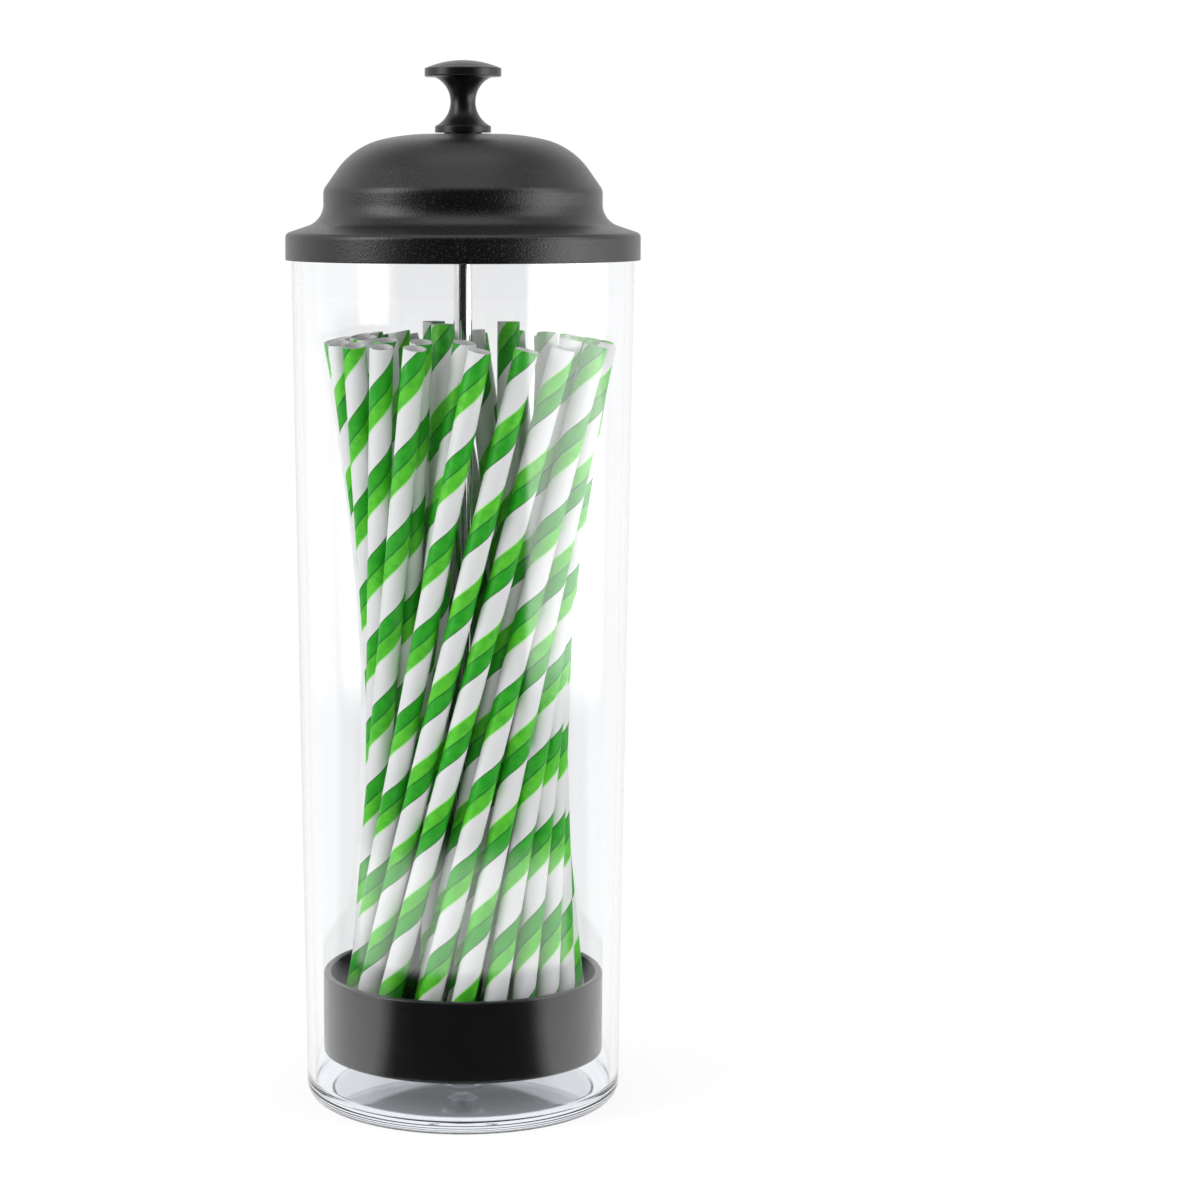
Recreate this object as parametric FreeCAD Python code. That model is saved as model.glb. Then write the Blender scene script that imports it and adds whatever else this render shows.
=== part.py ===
import FreeCAD
import Part
import math
import os

# Counter-top straw dispenser: a clear jar, a domed lid and a rod that lifts a tray of straws.
# Millimetres. The origin is the centre of the jar's foot, +Z is up and the front faces -Y.

# Jar, one clear moulding with a slight draft
JAR_HEIGHT = 233.6
JAR_BASE_R = 42.5
JAR_MOUTH_R = 45.5
JAR_WALL = 2.2
JAR_FLOOR_TOP = 3.6
JAR_CORNER_R = 4.5
JAR_INNER_CORNER_R = 3.0
JAR_RIM_ROUND = 0.6
JAR_RECESS_R = 35.0
JAR_RECESS_DEPTH = 0.8
GATE_RING_R = 6.3
GATE_RING_WIDTH = 1.0
GATE_RING_HEIGHT = 0.5

# Lid, a domed shell that sits on the jar's rim
LID_SIDE_CLEARANCE = 0.3
LID_SKIRT_WALL = 1.2
LID_SKIRT_DEPTH = 6.4
LID_WALL = 1.8
LID_CROWN_RISE = 26.6
LID_FLAT_R = 9.0
LID_LEDGE = 10.1
LID_SHOULDER_R = 20.0
LID_SHOULDER_DROP = 20.9
LID_SHOULDER_END_DEG = 55.0
LID_KNEE_R = 3.0
LID_FLARE_R = 6.0
LID_FLARE_RISE = 8.3
LID_BRIM_SLOPE_DEG = 17.0
LID_BRIM_ROUND = 1.5
LID_BRIM_BAND = 5.9
LID_PLUG_WALL = 1.5
LID_PLUG_DEPTH = 4.8
LID_BOSS_R = 8.0
LID_BOSS_DEPTH = 1.2
STUD_CLEARANCE = 0.05

# Knob, turned, screwed on the stud of the rod
KNOB_PAD_R = 5.0
KNOB_PAD_HEIGHT = 0.4
KNOB_BASE_R = 7.4
KNOB_BASE_HEIGHT = 1.8
KNOB_BASE_ROUND = 0.4
KNOB_WAIST_R = 3.3
KNOB_WAIST_RISE = 8.0
KNOB_CURVE_R = 7.0
KNOB_DISC_R = 10.1
KNOB_DISC_RISE = 14.5
KNOB_DISC_BAND = 2.3
KNOB_DISC_ROUND = 0.3
KNOB_CROWN_RISE = 2.0
KNOB_BORE_DEPTH = 10.0

# Rod, with an M4 stud at the top and an M5 thread at the tray
ROD_R = 2.5
STUD_R = 2.0
STUD_END_GAP = 0.6
ROD_TAIL = 1.0
ROD_CHAMFER = 0.5
THREAD_CLEARANCE = 0.05

# Nuts and washers
SMALL_NUT_FLATS = 7.0
SMALL_NUT_HEIGHT = 3.2
SMALL_WASHER_R = 4.5
SMALL_WASHER_THICK = 0.8
LARGE_NUT_FLATS = 8.0
LARGE_NUT_HEIGHT = 4.0
LARGE_WASHER_R = 6.0
LARGE_WASHER_THICK = 1.0
LID_TURN_PLAY = 0.1

# Tray, a shallow cup that carries the straws
TRAY_SIDE_GAP = 2.47
TRAY_WALL = 2.0
TRAY_HEIGHT = 22.0
TRAY_BOTTOM_Z = 13.4
TRAY_FLOOR = 2.0
TRAY_EDGE_ROUND = 1.0
TRAY_RIM_ROUND = 0.6
TRAY_BOSS_R = 7.0
TRAY_BOSS_HEIGHT = 1.6

# Straws, paper tubes that lean round the rod in an hourglass
STRAW_R = 3.0
STRAW_WALL = 0.4
STRAW_LENGTH = 195.0
STRAW_FOOT_GAP = 0.3
BUNDLE_FOOT_SHIFT = 0.5
BUNDLE_TOP_SHIFT = 1.8

# Rings: gaps at the feet to the tray's wall, between the rings and to the tray's boss
OUTER_FOOT_GAP = 0.5
INNER_FOOT_GAP = 1.0
CORE_FOOT_GAP = 0.7

# Rings: gaps at the tops to the jar's wall and between the rings, and the core's spread
OUTER_TOP_GAP = 2.2
INNER_TOP_GAP = 0.9
CORE_TOP_SPREAD = 0.6

# Twist from a straw's foot round to its top, in degrees
OUTER_TWIST = 87.5
INNER_TWIST = 98.0
CORE_TWIST = 20.0

# Straws at the front, by the angle at their waist from the front, positive to the right
# and by how much more than its ring each one twists
OUTER_FRONT_ANGLES = (-70.0, -47.5, -26.5, -8.5, 15.4, 32.8)
OUTER_FRONT_TURNS = (0.0, 4.0, 2.5, 2.0, 1.0, 0.5)
OUTER_BACK_COUNT = 15
INNER_COUNT = 16
INNER_START = 12.0
INNER_LEFT_OUT = (14, 15)
CORE_ANGLES = (-57.0, 98.0, 215.0)

# Uneven leaning of the rings that stand evenly: turn in degrees and reach in millimetres
LEAN_TURN = 0.15
LEAN_REACH = 0.25

FRONT_DEG = -90.0


def polar(radius, degrees):
    """A point in the plane from a radius and an angle about Z."""
    angle = math.radians(degrees)
    return FreeCAD.Vector(radius * math.cos(angle), radius * math.sin(angle), 0)


class Outline:
    """Half of a turned section, drawn in radius and height and turned about Z."""

    def __init__(self, radius, height):
        self.start = FreeCAD.Vector(radius, 0, height)
        self.here = self.start
        self.edges = []

    def line(self, radius, height):
        """Draw a straight stretch to a point, unless the pen is already there."""
        end = FreeCAD.Vector(radius, 0, height)
        if end.distanceToPoint(self.here) > 1e-6:
            self.edges.append(Part.makeLine(self.here, end))
            self.here = end
        return self

    def arc(self, centre_r, centre_z, radius, start_deg, end_deg):
        """Draw to the start of an arc about a centre, then round it to its end."""
        points = []
        for degrees in (start_deg, (start_deg + end_deg) / 2, end_deg):
            angle = math.radians(degrees)
            x = centre_r + radius * math.cos(angle)
            z = centre_z + radius * math.sin(angle)
            points.append(FreeCAD.Vector(x, 0, z))
        self.line(points[0].x, points[0].z)
        points[0] = self.here
        self.edges.append(Part.Arc(*points).toShape())
        self.here = points[2]
        return self

    def solid(self):
        """Close the outline and turn it about Z."""
        self.line(self.start.x, self.start.z)
        face = Part.Face(Part.Wire(self.edges))
        axis = FreeCAD.Vector(0, 0, 1)
        turned = face.revolve(FreeCAD.Vector(0, 0, 0), axis, 360)
        return turned if turned.ShapeType == "Solid" else Part.Solid(turned.Shells[0])


def ring(outer_r, inner_r, bottom, height):
    """A flat ring such as a washer."""
    outer = Part.makeCylinder(outer_r, height, FreeCAD.Vector(0, 0, bottom))
    return outer.cut(Part.makeCylinder(inner_r, height, FreeCAD.Vector(0, 0, bottom)))


def nut(flats, bore_r, bottom, height):
    """A hexagon nut, chamfered at its corners on both faces."""
    corner_r = flats / math.sqrt(3)
    corners = [polar(corner_r, 60 * i) for i in range(7)]
    prism = Part.Face(Part.makePolygon(corners)).extrude(FreeCAD.Vector(0, 0, height))
    rim = (corner_r - flats / 2) * math.tan(math.radians(30))
    disc = Outline(0, 0)
    disc.line(flats / 2, 0).line(corner_r, rim).line(corner_r, height - rim)
    disc.line(flats / 2, height).line(0, height)
    body = prism.common(disc.solid())
    body = body.cut(Part.makeCylinder(bore_r, height))
    body.translate(FreeCAD.Vector(0, 0, bottom))
    return body.Solids[0]


# Levels and radii that several pieces share

def jar_outer_r(height):
    """Radius of the jar's outside at a height."""
    return JAR_BASE_R + (JAR_MOUTH_R - JAR_BASE_R) * height / JAR_HEIGHT


def jar_inner_r(height):
    """Radius of the jar's inside at a height."""
    return jar_outer_r(height) - JAR_WALL


LID_SKIRT_R = jar_outer_r(JAR_HEIGHT) + LID_SIDE_CLEARANCE + LID_SKIRT_WALL
LID_NECK_R = LID_SKIRT_R - LID_LEDGE
CROWN_Z = JAR_HEIGHT + LID_CROWN_RISE
BOSS_Z = CROWN_Z - LID_WALL - LID_BOSS_DEPTH
LID_WASHER_Z = BOSS_Z - LID_TURN_PLAY - SMALL_WASHER_THICK
LID_NUT_Z = LID_WASHER_Z - SMALL_NUT_HEIGHT
KNOB_Z = CROWN_Z
TRAY_FLOOR_Z = TRAY_BOTTOM_Z + TRAY_FLOOR
TRAY_TOP_Z = TRAY_BOTTOM_Z + TRAY_HEIGHT
TRAY_R = jar_inner_r(TRAY_BOTTOM_Z) - TRAY_SIDE_GAP
TRAY_INNER_R = TRAY_R - TRAY_WALL
UPPER_WASHER_Z = TRAY_FLOOR_Z + TRAY_BOSS_HEIGHT
UPPER_NUT_Z = UPPER_WASHER_Z + LARGE_WASHER_THICK
LOWER_WASHER_Z = TRAY_BOTTOM_Z - LARGE_WASHER_THICK
LOWER_NUT_Z = LOWER_WASHER_Z - LARGE_NUT_HEIGHT
ROD_BORE_R = ROD_R + THREAD_CLEARANCE
STUD_BORE_R = STUD_R + THREAD_CLEARANCE
LID_BORE_R = STUD_R + STUD_CLEARANCE
OUTER_FOOT_R = TRAY_INNER_R - OUTER_FOOT_GAP - STRAW_R - BUNDLE_FOOT_SHIFT
INNER_FOOT_R = OUTER_FOOT_R - 2 * STRAW_R - INNER_FOOT_GAP
CORE_FOOT_R = TRAY_BOSS_R + CORE_FOOT_GAP + STRAW_R + BUNDLE_FOOT_SHIFT
STRAW_TOP_WALL_R = jar_inner_r(TRAY_FLOOR_Z + STRAW_LENGTH)
OUTER_TOP_R = STRAW_TOP_WALL_R - OUTER_TOP_GAP - STRAW_R - BUNDLE_TOP_SHIFT
INNER_TOP_R = OUTER_TOP_R - 2 * STRAW_R - INNER_TOP_GAP
CORE_TOP_R = CORE_FOOT_R + CORE_TOP_SPREAD


def make_jar():
    """The clear jar: foot, drafted wall, rounded rim and the gate ring inside."""
    top = JAR_HEIGHT
    outer = jar_outer_r(top)
    inner = jar_inner_r(top)
    corner = JAR_CORNER_R
    foot_r = jar_outer_r(corner) - corner
    floor_corner_z = JAR_FLOOR_TOP + JAR_INNER_CORNER_R
    floor_r = jar_inner_r(floor_corner_z) - JAR_INNER_CORNER_R
    ring_top = JAR_FLOOR_TOP + GATE_RING_HEIGHT
    jar = Outline(0, JAR_RECESS_DEPTH)
    jar.line(JAR_RECESS_R, JAR_RECESS_DEPTH).line(JAR_RECESS_R + JAR_RECESS_DEPTH, 0)
    jar.arc(foot_r, corner, corner, -90, 0)
    jar.arc(outer - JAR_RIM_ROUND, top - JAR_RIM_ROUND, JAR_RIM_ROUND, 0, 90)
    jar.arc(inner + JAR_RIM_ROUND, top - JAR_RIM_ROUND, JAR_RIM_ROUND, 90, 180)
    jar.arc(floor_r, floor_corner_z, JAR_INNER_CORNER_R, 0, -90)
    jar.line(GATE_RING_R, JAR_FLOOR_TOP).line(GATE_RING_R, ring_top)
    jar.line(GATE_RING_R - GATE_RING_WIDTH, ring_top)
    jar.line(GATE_RING_R - GATE_RING_WIDTH, JAR_FLOOR_TOP).line(0, JAR_FLOOR_TOP)
    return jar.solid()


def lid_crown():
    """Centre height, radius and end angle of the crown arc that meets the shoulder."""
    across = LID_NECK_R - LID_SHOULDER_R - LID_FLAT_R
    drop = LID_SHOULDER_DROP
    radius = (drop ** 2 + across ** 2 - LID_SHOULDER_R ** 2) / (2 * (drop - LID_SHOULDER_R))
    meet = math.degrees(math.asin(across / (radius - LID_SHOULDER_R)))
    return CROWN_Z - radius, radius, meet


def make_lid():
    """The lid shell: crown, shoulder, neck, flare and brim, with a plug ring inside."""
    wall = LID_WALL
    crown_z, crown_r, meet = lid_crown()
    shoulder_x = LID_NECK_R - LID_SHOULDER_R
    shoulder_z = CROWN_Z - LID_SHOULDER_DROP
    end = LID_SHOULDER_END_DEG
    slope = math.radians(end)
    knee_x = LID_NECK_R - LID_KNEE_R
    reach = (knee_x - shoulder_x) - (LID_SHOULDER_R - LID_KNEE_R) * math.sin(slope)
    fall = reach * math.tan(slope)
    knee_z = shoulder_z + (LID_SHOULDER_R - LID_KNEE_R) * math.cos(slope) - fall
    flare_x = LID_NECK_R + LID_FLARE_R
    flare_z = JAR_HEIGHT + LID_FLARE_RISE
    skirt_in = LID_SKIRT_R - LID_SKIRT_WALL
    skirt_z = JAR_HEIGHT - LID_SKIRT_DEPTH
    band_z = skirt_z + LID_BRIM_BAND
    plug_out = jar_inner_r(JAR_HEIGHT) - LID_SIDE_CLEARANCE
    plug_in = plug_out - LID_PLUG_WALL

    lid = Outline(LID_BORE_R, BOSS_Z)
    lid.line(LID_BORE_R, CROWN_Z)
    lid.arc(LID_FLAT_R, crown_z, crown_r, 90, 90 - meet)
    lid.arc(shoulder_x, shoulder_z, LID_SHOULDER_R, 90 - meet, 90 - end)
    lid.arc(knee_x, knee_z, LID_KNEE_R, 90 - end, 0)
    lid.arc(flare_x, flare_z, LID_FLARE_R, 180, 270 - LID_BRIM_SLOPE_DEG)
    lid.arc(LID_SKIRT_R - LID_BRIM_ROUND, band_z, LID_BRIM_ROUND, 90 - LID_BRIM_SLOPE_DEG, 0)
    lid.line(LID_SKIRT_R, skirt_z).line(skirt_in, skirt_z).line(skirt_in, JAR_HEIGHT)
    lid.line(plug_out, JAR_HEIGHT).line(plug_out, JAR_HEIGHT - LID_PLUG_DEPTH)
    lid.line(plug_in, JAR_HEIGHT - LID_PLUG_DEPTH)
    inner_flare_r = LID_FLARE_R + wall
    meet_plug = 180 + math.degrees(math.acos((flare_x - plug_in) / inner_flare_r))
    lid.arc(flare_x, flare_z, inner_flare_r, meet_plug, 180)
    lid.arc(knee_x, knee_z, LID_KNEE_R - wall, 0, 90 - end)
    lid.arc(shoulder_x, shoulder_z, LID_SHOULDER_R - wall, 90 - end, 90 - meet)
    lid.arc(LID_FLAT_R, crown_z, crown_r - wall, 90 - meet, 90)
    lid.line(LID_BOSS_R, CROWN_Z - wall).line(LID_BOSS_R, BOSS_Z)
    return lid.solid()


def make_knob():
    """The pull knob: base flange, waisted neck, broad disc and a low crown."""
    base_z = KNOB_Z + KNOB_PAD_HEIGHT
    base_top = base_z + KNOB_BASE_HEIGHT
    disc_z = base_z + KNOB_DISC_RISE
    disc_top = disc_z + KNOB_DISC_BAND
    waist_z = base_z + KNOB_WAIST_RISE
    curve_x = KNOB_WAIST_R + KNOB_CURVE_R
    low = 180 + math.degrees(math.asin((waist_z - base_top) / KNOB_CURVE_R))
    high = 180 - math.degrees(math.asin((disc_z - waist_z) / KNOB_CURVE_R))
    crown_edge = KNOB_DISC_R - KNOB_DISC_ROUND
    crown_r = (crown_edge ** 2 + KNOB_CROWN_RISE ** 2) / (2 * KNOB_CROWN_RISE)
    crown_z = disc_top + KNOB_CROWN_RISE - crown_r
    crown_deg = math.degrees(math.acos(crown_edge / crown_r))
    bore_top = KNOB_Z + KNOB_BORE_DEPTH
    round_r = KNOB_BASE_ROUND
    edge_r = KNOB_DISC_ROUND

    knob = Outline(0, bore_top)
    knob.line(STUD_BORE_R, bore_top).line(STUD_BORE_R, KNOB_Z)
    knob.line(KNOB_PAD_R, KNOB_Z).line(KNOB_PAD_R, base_z)
    knob.line(KNOB_BASE_R, base_z)
    knob.arc(KNOB_BASE_R - round_r, base_top - round_r, round_r, 0, 90)
    knob.arc(curve_x, waist_z, KNOB_CURVE_R, low, high)
    knob.arc(KNOB_DISC_R - edge_r, disc_z + edge_r, edge_r, -90, 0)
    knob.arc(KNOB_DISC_R - edge_r, disc_top - edge_r, edge_r, 0, 90)
    knob.arc(0, crown_z, crown_r, crown_deg, 90)
    return knob.solid()


def make_rod():
    """The lift rod: a plain shaft with a thinner stud that the knob screws on."""
    bottom = LOWER_NUT_Z - ROD_TAIL
    shoulder = LID_NUT_Z
    tip = KNOB_Z + KNOB_BORE_DEPTH - STUD_END_GAP
    rod = Outline(0, bottom)
    rod.line(ROD_R - ROD_CHAMFER, bottom).line(ROD_R, bottom + ROD_CHAMFER)
    rod.line(ROD_R, shoulder).line(STUD_R, shoulder)
    rod.line(STUD_R, tip - ROD_CHAMFER).line(STUD_R - ROD_CHAMFER, tip).line(0, tip)
    return rod.solid()


def make_tray():
    """The tray: a cup with a raised boss where the rod passes through."""
    edge = TRAY_EDGE_ROUND
    rim = TRAY_RIM_ROUND
    tray = Outline(ROD_BORE_R, TRAY_BOTTOM_Z)
    tray.arc(TRAY_R - edge, TRAY_BOTTOM_Z + edge, edge, -90, 0)
    tray.arc(TRAY_R - rim, TRAY_TOP_Z - rim, rim, 0, 90)
    tray.arc(TRAY_INNER_R + rim, TRAY_TOP_Z - rim, rim, 90, 180)
    tray.line(TRAY_INNER_R, TRAY_FLOOR_Z).line(TRAY_BOSS_R, TRAY_FLOOR_Z)
    tray.line(TRAY_BOSS_R, UPPER_WASHER_Z).line(ROD_BORE_R, UPPER_WASHER_Z)
    return tray.solid()


def straw_line(foot_r, top_r, twist, foot_deg, reach=0.0):
    """Foot and top centres of one straw, from its ring's radii, twist and foot angle."""
    foot = polar(foot_r, foot_deg) + FreeCAD.Vector(BUNDLE_FOOT_SHIFT, 0, 0)
    top = polar(top_r + reach, foot_deg + twist) + FreeCAD.Vector(BUNDLE_TOP_SHIFT, 0, 0)
    run = foot.distanceToPoint(top)
    lean = math.asin(run / STRAW_LENGTH)
    foot.z = TRAY_FLOOR_Z + STRAW_FOOT_GAP + STRAW_R * math.sin(lean)
    top.z = foot.z + STRAW_LENGTH * math.cos(lean)
    return foot, top


def waist_turn(foot_r, top_r, twist):
    """Degrees from a straw's foot round to its waist, where it is nearest the axis."""
    angle = math.radians(twist)
    run = math.sqrt(foot_r ** 2 + top_r ** 2 - 2 * foot_r * top_r * math.cos(angle))
    waist_r = foot_r * top_r * math.sin(angle) / run
    return math.degrees(math.acos(waist_r / foot_r))


def outer_lines():
    """The outer ring: the front straws by hand, the rest evenly round the back."""
    turn = waist_turn(OUTER_FOOT_R, OUTER_TOP_R, OUTER_TWIST)
    first = OUTER_FRONT_ANGLES[0] + 360
    last = OUTER_FRONT_ANGLES[-1]
    step = (first - last) / (OUTER_BACK_COUNT + 1)
    lines = []
    for angle, extra in zip(OUTER_FRONT_ANGLES, OUTER_FRONT_TURNS):
        foot_deg = FRONT_DEG + angle - turn
        lines.append(straw_line(OUTER_FOOT_R, OUTER_TOP_R, OUTER_TWIST + extra, foot_deg))
    for i in range(1, OUTER_BACK_COUNT + 1):
        uneven = math.sin(2.4 * i)
        foot_deg = FRONT_DEG + last + step * i + LEAN_TURN * uneven - turn
        reach = LEAN_REACH * uneven
        lines.append(straw_line(OUTER_FOOT_R, OUTER_TOP_R, OUTER_TWIST, foot_deg, reach))
    return lines


def inner_lines():
    """The inner ring, with a gap at the front where the rod shows."""
    turn = waist_turn(INNER_FOOT_R, INNER_TOP_R, INNER_TWIST)
    lines = []
    for i in range(INNER_COUNT):
        if i in INNER_LEFT_OUT:
            continue
        uneven = math.sin(1.7 * i)
        angle = FRONT_DEG + INNER_START + 360 * i / INNER_COUNT + LEAN_TURN * uneven - turn
        lines.append(straw_line(INNER_FOOT_R, INNER_TOP_R, INNER_TWIST, angle, LEAN_REACH * uneven))
    return lines


def core_lines():
    """The few straws that stand almost upright beside the rod."""
    return [straw_line(CORE_FOOT_R, CORE_TOP_R, CORE_TWIST, FRONT_DEG + angle)
            for angle in CORE_ANGLES]


def straw_lines():
    """Every straw's name with its foot and top centres."""
    lines = outer_lines() + inner_lines() + core_lines()
    return {"straw_%02d" % (i + 1): line for i, line in enumerate(lines)}


def make_straw(foot, top):
    """One paper tube from its foot centre to its top centre, cut square at both ends."""
    along = top - foot
    tube = ring(STRAW_R, STRAW_R - STRAW_WALL, 0, STRAW_LENGTH)
    turn = FreeCAD.Rotation(FreeCAD.Vector(0, 0, 1), along)
    tube.Placement = FreeCAD.Placement(foot, turn)
    return tube.Solids[0]


def build():
    """Every node's name with its solid."""
    nodes = {
        "jar": make_jar(),
        "lid_shell": make_lid(),
        "knob": make_knob(),
        "lift_rod": make_rod(),
        "lid_washer": ring(SMALL_WASHER_R, STUD_BORE_R, LID_WASHER_Z, SMALL_WASHER_THICK),
        "lid_nut": nut(SMALL_NUT_FLATS, STUD_BORE_R, LID_NUT_Z, SMALL_NUT_HEIGHT),
        "tray": make_tray(),
        "tray_upper_washer": ring(LARGE_WASHER_R, ROD_BORE_R, UPPER_WASHER_Z, LARGE_WASHER_THICK),
        "tray_upper_nut": nut(LARGE_NUT_FLATS, ROD_BORE_R, UPPER_NUT_Z, LARGE_NUT_HEIGHT),
        "tray_lower_washer": ring(LARGE_WASHER_R, ROD_BORE_R, LOWER_WASHER_Z, LARGE_WASHER_THICK),
        "tray_lower_nut": nut(LARGE_NUT_FLATS, ROD_BORE_R, LOWER_NUT_Z, LARGE_NUT_HEIGHT),
    }
    for name, (foot, top) in straw_lines().items():
        nodes[name] = make_straw(foot, top)
    return nodes


os.makedirs("parts", exist_ok=True)
for node, shape in build().items():
    shape.exportStep("parts/" + node + ".step")
    print(node, "valid", shape.isValid(), "volume %.1f mm3" % shape.Volume)
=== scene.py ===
"""Counter-top straw dispenser: a clear jar, a domed lid, and a knob on a rod that lifts a tray of straws.

Everything is in metres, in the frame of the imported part: +Z up along the rod, -Y towards the camera.
"""

from __future__ import annotations

import logging
import math
from dataclasses import dataclass, field
from enum import Enum
from typing import Any, Iterable

import bpy
from mathutils import Matrix, Vector

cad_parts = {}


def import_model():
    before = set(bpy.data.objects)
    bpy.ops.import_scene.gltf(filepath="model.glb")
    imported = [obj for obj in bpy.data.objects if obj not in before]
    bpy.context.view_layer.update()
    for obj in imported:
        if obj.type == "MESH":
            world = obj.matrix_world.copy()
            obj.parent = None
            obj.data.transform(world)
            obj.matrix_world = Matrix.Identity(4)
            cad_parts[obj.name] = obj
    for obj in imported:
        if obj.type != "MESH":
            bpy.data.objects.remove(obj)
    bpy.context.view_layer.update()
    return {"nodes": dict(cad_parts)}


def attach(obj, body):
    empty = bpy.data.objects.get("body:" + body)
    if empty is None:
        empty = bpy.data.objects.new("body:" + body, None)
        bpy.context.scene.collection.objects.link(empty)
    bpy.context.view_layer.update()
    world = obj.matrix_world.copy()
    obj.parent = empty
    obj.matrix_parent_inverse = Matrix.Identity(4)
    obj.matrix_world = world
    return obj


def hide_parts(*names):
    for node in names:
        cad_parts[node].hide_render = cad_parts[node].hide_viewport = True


LOG = logging.getLogger("straw_dispenser")
MM = 0.001
PRINT_MAP = "print"

Colour = tuple[float, float, float, float]
Spot = tuple[float, float, float]
Point = tuple[float, float]
Span = tuple[float, float]
Values = dict[Any, Any]
WHITE: Colour = (1.0, 1.0, 1.0, 1.0)


def grey(tone: float) -> Colour:
    """A colour with no hue."""
    return (tone, tone, tone, 1.0)


# Shader graphs


@dataclass(frozen=True)
class Wire:
    """One output of a node, which takes part in Python sums: each adds a Math node to its graph."""

    graph: Graph
    node: bpy.types.Node
    output: int | str

    def out(self, output: int | str) -> Wire:
        """Another output of the same node."""
        return Wire(self.graph, self.node, output)

    def _math(self, operation: str, *values: Any) -> Wire:
        """Add one Math node on the given values."""
        return self.graph.add("ShaderNodeMath", {"operation": operation}, dict(enumerate(values)))

    def __add__(self, other: Any) -> Wire:
        """Sum with a wire or a number."""
        return self._math("ADD", self, other)

    def __sub__(self, other: Any) -> Wire:
        """Difference from a wire or a number."""
        return self._math("SUBTRACT", self, other)

    def __rsub__(self, other: Any) -> Wire:
        """Difference with a number on the left."""
        return self._math("SUBTRACT", other, self)

    def __mul__(self, other: Any) -> Wire:
        """Product with a wire or a number."""
        return self._math("MULTIPLY", self, other)

    __radd__ = __add__
    __rmul__ = __mul__

    def fraction(self) -> Wire:
        """What is left past the whole number below."""
        return self._math("FRACT", self)

    def size(self) -> Wire:
        """The number without its sign."""
        return self._math("ABSOLUTE", self)

    def degrees_from(self, other: Any) -> Wire:
        """The angle in degrees whose tangent is this over the other."""
        return self._math("ARCTAN2", self, other) * math.degrees(1.0)

    def at_most(self, other: Any) -> Wire:
        """The smaller of two."""
        return self._math("MINIMUM", self, other)

    def at_least(self, other: Any) -> Wire:
        """The larger of two."""
        return self._math("MAXIMUM", self, other)

    def ramp(self, low: float, high: float) -> Wire:
        """A smooth rise between two levels, or a fall where the first is the larger.

        Args:
            low: Where it is 0.
            high: Where it is 1.

        Returns:
            The rise.
        """
        if low > high:
            return 1.0 - self.ramp(high, low)
        settings = {"interpolation_type": "SMOOTHSTEP"}
        inputs = {"Value": self, "From Min": low, "From Max": high}
        return self.graph.add("ShaderNodeMapRange", settings, inputs)


class Graph:
    """A node tree that is built one node at a time."""

    def __init__(self, owner: bpy.types.Material | bpy.types.World) -> None:
        """Start from an empty tree.

        Args:
            owner: The material or the world that the tree belongs to.
        """
        self.owner = owner
        owner.use_nodes = True
        self.tree = owner.node_tree
        self.tree.nodes.clear()

    def add(self, kind: str, settings: Values | None = None, inputs: Values | None = None) -> Wire:
        """Add one node.

        Args:
            kind: The node's type.
            settings: Its own properties, set before its sockets.
            inputs: Values or wires by the input's name or number.

        Returns:
            Its first output that is enabled, if it has any.
        """
        node = self.tree.nodes.new(kind)
        for key, value in (settings or {}).items():
            setattr(node, key, value)
        for key, value in (inputs or {}).items():
            if isinstance(value, Wire):
                self.tree.links.new(value.node.outputs[value.output], node.inputs[key])
            else:
                node.inputs[key].default_value = value
        shown = [i for i, output in enumerate(node.outputs) if output.enabled]
        return Wire(self, node, shown[0] if shown else 0)

    def mix(self, share: Any, first: Any, second: Any) -> Wire:
        """Blend two colours by a share of the second."""
        settings = {"data_type": "RGBA", "clamp_factor": True}
        return self.add("ShaderNodeMix", settings, {0: share, 6: first, 7: second})

    def noise(self, place: Wire, size: float, detail: float = 2.0) -> Wire:
        """A noise value from 0 to 1, whose grains are about the given size in metres."""
        return self.add("ShaderNodeTexNoise", None, {"Vector": place, "Scale": 1.0 / size, "Detail": detail})

    def stretched(self, place: Wire, scale: Spot) -> Wire:
        """A place scaled along each axis, to draw a pattern out."""
        return self.add("ShaderNodeMapping", None, {"Vector": place, "Scale": scale})

    def bump(self, height: Wire, depth: float) -> Wire:
        """A normal from a height of 0 to 1 that stands for a depth in metres."""
        return self.add("ShaderNodeBump", None, {"Height": height, "Distance": depth, "Strength": 1.0})

    def object_place(self) -> Wire:
        """Object coordinates, which are the part's own on every piece."""
        return self.add("ShaderNodeTexCoord").out("Object")

    def parts(self, place: Wire) -> Wire:
        """The X, Y and Z of a place or direction, as outputs of one node."""
        return self.add("ShaderNodeSeparateXYZ", None, {"Vector": place})

    def principled(self, values: Values) -> Wire:
        """The main surface shader, from its values and links."""
        return self.add("ShaderNodeBsdfPrincipled", None, values)

    def glow(self, strength: Any, colour: Any = WHITE, kind: str = "Emission") -> Wire:
        """Light of a strength and colour, from a surface or, where the kind is Background, from the world."""
        return self.add("ShaderNode" + kind, None, {"Color": colour, "Strength": strength})

    def over(self, share: Any, first: Wire, second: Wire) -> Wire:
        """Blend two shaders by a share of the second."""
        return self.add("ShaderNodeMixShader", None, {0: share, 1: first, 2: second})

    def close(self, surface: Wire, kind: str = "Material") -> bpy.types.Material | bpy.types.World:
        """Link the finished surface to the tree's output, and give back what the tree belongs to."""
        self.add("ShaderNodeOutput" + kind, None, {"Surface": surface})
        return self.owner


# Finishes


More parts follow.
